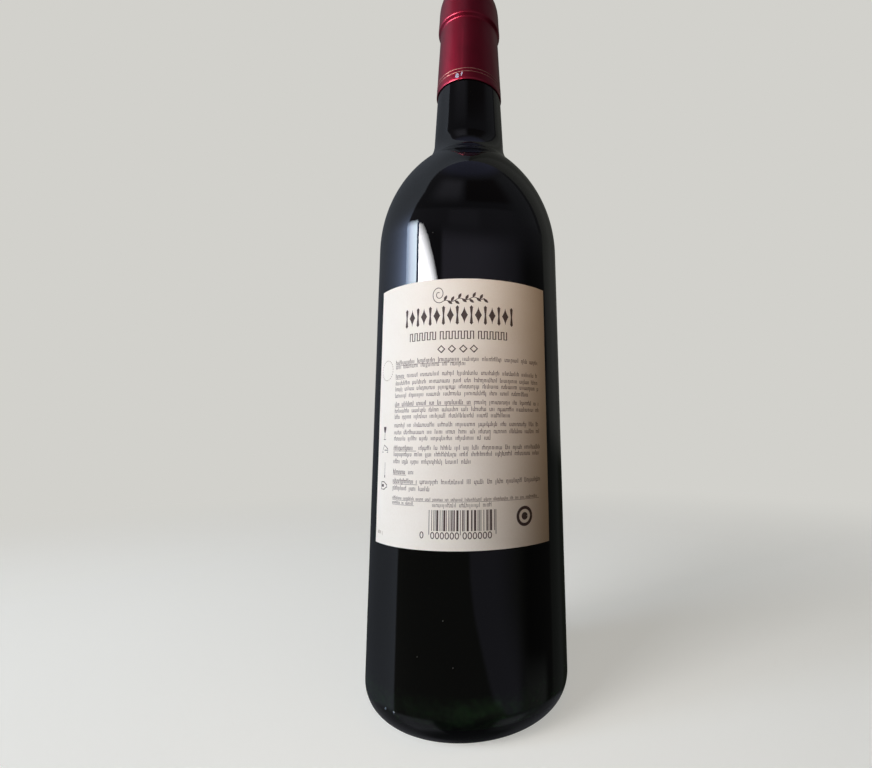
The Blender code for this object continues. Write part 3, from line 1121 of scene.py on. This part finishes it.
# Each patch: four azimuths (starts, full, fades, ends), four elevations the same way, how many degrees of
# azimuth it leans for each degree up, how it bends with the square of that, and its light. Light is given
# in linear numbers, because it can be brighter than white.
ROOM_PATCHES = (
    ((5, 10, 30, 68), (-70, -62, -6, 4), 0.0, -0.14, (0.165, 0.165, 0.200)),
    ((58, 78, 112, 118), (-70, -62, 0, 8), 0.0, 0.0, (0.028, 0.028, 0.027)),
    ((110, 118, 180, 181), (-70, -62, 0, 8), 0.0, 0.0, (0.048, 0.052, 0.048)),
    ((134, 150, 180, 181), (-70, -62, 0, 8), 0.0, 0.0, (0.018, 0.020, 0.016)),
    ((-80, -78, 90, 130), (4, 12, 90, 91), 0.0, 0.0, (0.090, 0.088, 0.102)),
    ((-30, -24, 6, 92), (4, 12, 25, 29), 0.0, 0.0, (0.350, 0.335, 0.420)),
    ((-80, -78, 46, 95), (26, 29, 38, 41), 0.0, 0.0, (0.140, 0.136, 0.160)),
    ((-24, -14, 12, 24), (27, 29, 36, 39), 0.0, 0.0, (0.190, 0.185, 0.220)),
    ((-62, -30, -14, 2), (40, 54, 60, 70), 0.0, 0.0, (0.260, 0.255, 0.300)),
    ((-2, 5, 76, 90), (43, 47, 64, 68), 0.0, 0.0, (0.055, 0.048, 0.052)),
    ((-180, -160, 160, 180), (66, 76, 90, 91), 0.0, 0.0, (0.150, 0.155, 0.240)),
    ((70, 95, 125, 128), (8, 12, 22, 28), 0.25, 0.0, (0.042, 0.042, 0.042)),
    ((70, 95, 125, 128), (26, 34, 64, 70), 0.25, 0.0, (0.110, 0.112, 0.125)),
    ((115, 118, 122, 124), (26, 30, 64, 70), 0.25, 0.0, (0.055, 0.055, 0.060)),
    ((121, 125, 400, 401), (-2, 5, 90, 91), 0.25, 0.0, (0.135, 0.138, 0.128)),
    ((132, 150, 400, 401), (-2, 5, 90, 91), 0.0, 0.0, (0.080, 0.082, 0.074)),
    ((62, 74, 96, 106), (-40, -36, -25, -21), 0.0, 0.0, (0.110, 0.118, 0.112)),
)

# Light from below, which the heel mirrors: strength, azimuths and elevations of each patch.
HEEL_BASE = 0.04
HEEL_TINT = (1.0, 1.02, 1.15)
HEEL_LIGHTS = (
    (0.07, (-178, -150, -36, -30), (-75, -60, -31, -28)),
    (0.13, (-92, -66, -36, -28), (-66, -54, -31, -28)),
    (0.06, (30, 60, 140, 175), (-75, -60, -33, -29)),
    (0.16, (34, 46, 66, 84), (-60, -48, -40, -32)),
)


def share_of(value, knots):
    """0 before the first knot, 1 between the middle two, 0 after the last, smooth between."""
    start, full, fade, end = knots
    return smooth_step(value, start, full) * (1.0 - smooth_step(value, fade, end))


def blend(under, over, share):
    """Under times (1 minus share) plus over times share."""
    return under * (1.0 - share) + over * share


def left_light(azimuth, elevation):
    """The pale left side: a peak at its near edge times exp(-angle / reach) beyond it."""
    edge = np.interp(elevation, [-30, 29, 44, 52, 68], [-79, -76, -71, -68, -77])
    beyond = np.clip(edge - azimuth, 0.0, None)
    peak = np.interp(elevation, [-60, -30, -20, 45, 70], [0.20, 0.30, 0.36, 0.48, 0.33])
    reach = np.interp(elevation, [-60, -20, 45, 70], [60, 34, 52, 95])
    broad = (peak * np.exp(-beyond / reach))[..., None] * np.array(LIFT_OF_LEFT)
    daylight = 2.1 * np.exp(-beyond / 11.0) * np.exp(-(((elevation - 20.0) / 11.0) ** 2))
    light = broad + daylight[..., None] * np.array([1.0, 1.3, 2.1])
    return light, smooth_step(edge - azimuth, -1.2, 1.8)[..., None]


def window_halo(azimuth, elevation):
    """Blue light round the slanted top of the window."""
    slanted = elevation + 0.43 * (azimuth + 57.5)
    share = share_of(azimuth, (-62, -59, -36, -24)) * share_of(slanted, (10, 20, 27.5, 31))
    return share[..., None] * np.array([0.35, 0.45, 1.0])


def room_light(azimuth, elevation):
    """Linear light by direction, in painter's order. Azimuth 0 is -Y and minus is the left, in degrees."""
    light = np.zeros(azimuth.shape + (3,)) + np.array(DIM_WALL)
    for across, upward, lean, bend, colour in ROOM_PATCHES:
        up = elevation + 12.0
        leant = azimuth + lean * up + bend * up**2
        share = (share_of(leant, across) * share_of(elevation, upward))[..., None]
        light = blend(light, np.array(colour), share)
    light = light + window_halo(azimuth, elevation)
    left, share = left_light(azimuth, elevation)
    light = blend(light, left, share)
    below = share_of(elevation, (-91, -90, -33, -28))[..., None]
    heel = HEEL_BASE
    for strength, across, upward in HEEL_LIGHTS:
        heel = heel + strength * share_of(azimuth, across) * share_of(elevation, upward)
    return blend(light, heel[..., None] * np.array(HEEL_TINT), below)


# %% Paint the room that the glass mirrors


def glow(name, light_by_point, points, faces):
    """A piece of the room that shines with the light stored at its points."""
    made, tree = new_material(name + "_light")
    stored = add_node(tree, "ShaderNodeAttribute", attribute_name="light")
    finished(made, tree, {"Color": stored.outputs["Color"]}, "ShaderNodeEmission")
    piece = new_piece(name, points, faces, made)
    layer = piece.data.attributes.new("light", "FLOAT_COLOR", "POINT")
    colours = np.concatenate([light_by_point, np.ones((len(points), 1))], axis=1)
    layer.data.foreach_set("color", colours.astype(np.float32).ravel())
    return piece


def make_room():
    """A sphere of directions, painted by the room's light."""
    azimuth = np.linspace(-180.0, 180.0, ROOM_COLUMNS, endpoint=False)[None, :]
    elevation = np.linspace(-89.9, 89.9, ROOM_ROWS)[:, None]
    azimuth, elevation = azimuth + 0.0 * elevation, elevation + 0.0 * azimuth
    turn = np.radians(azimuth) - math.pi / 2.0
    points = ROOM_RADIUS * around_z(np.cos(np.radians(elevation)), turn, np.sin(np.radians(elevation)))
    faces = grid_faces(ROOM_ROWS, ROOM_COLUMNS, columns_close=True)
    light = room_light(azimuth, elevation).reshape(-1, 3)
    return glow("room", light, points.reshape(-1, 3), [faces])


room = make_room()
room.data.materials[0].cycles.emission_sampling = "NONE"
hide_from(room, "camera", "diffuse", "transmission", "shadow", "volume_scatter")

# %% Make the window
PANE_DISTANCE = 1.15
PANE_CENTRE_HEIGHT = 0.165
PANE_BOTTOM = 10.0
PANE_HAZE = 4.2


def make_pane(name, azimuths, tops, lights, fade):
    """Strips of a pane between azimuths, each with its top, as seen from the shoulder, in degrees.

    Near the top its light falls to the share that fade gives.
    """
    azimuth = np.radians(np.tile(azimuths, 3))
    tops = np.array(tops)
    elevation = np.radians(np.concatenate([np.full(len(azimuths), PANE_BOTTOM), tops - PANE_HAZE, tops]))
    lights = np.array(lights)
    level = PANE_CENTRE_HEIGHT + PANE_DISTANCE * np.tan(elevation)
    points = around_z(PANE_DISTANCE, azimuth - math.pi / 2.0, level)
    light = np.vstack([lights, lights, lights * fade])
    return glow(name, light, points, [grid_faces(3, len(azimuths))[:, ::-1]])


white_pane = make_pane(
    "white_pane",
    [-57.5, -50.0, -43.0, -36.0, -30.0],
    [26.6, 24.8, 22.8, 20.2, 17.2],
    [(27.3, 27.3, 28.2)] * 5,
    0.05,
)
lilac_pane = make_pane(
    "lilac_pane",
    [-76.0, -73.0, -68.0, -62.0, -60.0],
    [28.6] * 5,
    [(4.0, 5.0, 7.0), (6.0, 7.2, 9.6), (11.2, 12.6, 15.2), (13.5, 15.9, 18.0), (13.5, 15.9, 18.0)],
    0.2,
)
for pane in (white_pane, lilac_pane):
    hide_from(pane, "camera", "shadow")

# %% Make the soft panel
PANEL_SIZE = 0.1
PANEL_PLACE = (0.028, -0.106, 0.155)
PANEL_AIM = 110.0 * MM
PANEL_LIGHT = (0.73, 0.51, 0.35)


def make_panel():
    """A small square lamp before and above the label, near enough to fade towards the label's foot."""
    aim = np.array([0.0, -BODY_RADIUS, PANEL_AIM]) - np.array(PANEL_PLACE)
    aim = aim / np.linalg.norm(aim)
    right = np.cross(aim, [0.0, 0.0, 1.0])
    right = right / np.linalg.norm(right)
    up = np.cross(right, aim)
    corners = np.array([(-1, -1), (-1, 1), (1, 1), (1, -1)]) * PANEL_SIZE / 2.0
    points = np.array(PANEL_PLACE) + corners[:, :1] * right + corners[:, 1:] * up
    return glow("soft_panel", np.tile(PANEL_LIGHT, (4, 1)), points, [np.array([[0, 1, 2, 3]])])


panel = make_panel()
hide_from(panel, "camera", "glossy", "shadow", "transmission")

# %% Light that fills the shadows
WORLD_LIGHT = (0.028, 0.019, 0.010, 1.0)
world = bpy.data.worlds.new("world")
bpy.context.scene.world = world
world.use_nodes = True
world.node_tree.nodes["Background"].inputs["Color"].default_value = WORLD_LIGHT
bpy.context.scene.view_settings.view_transform = "Standard"
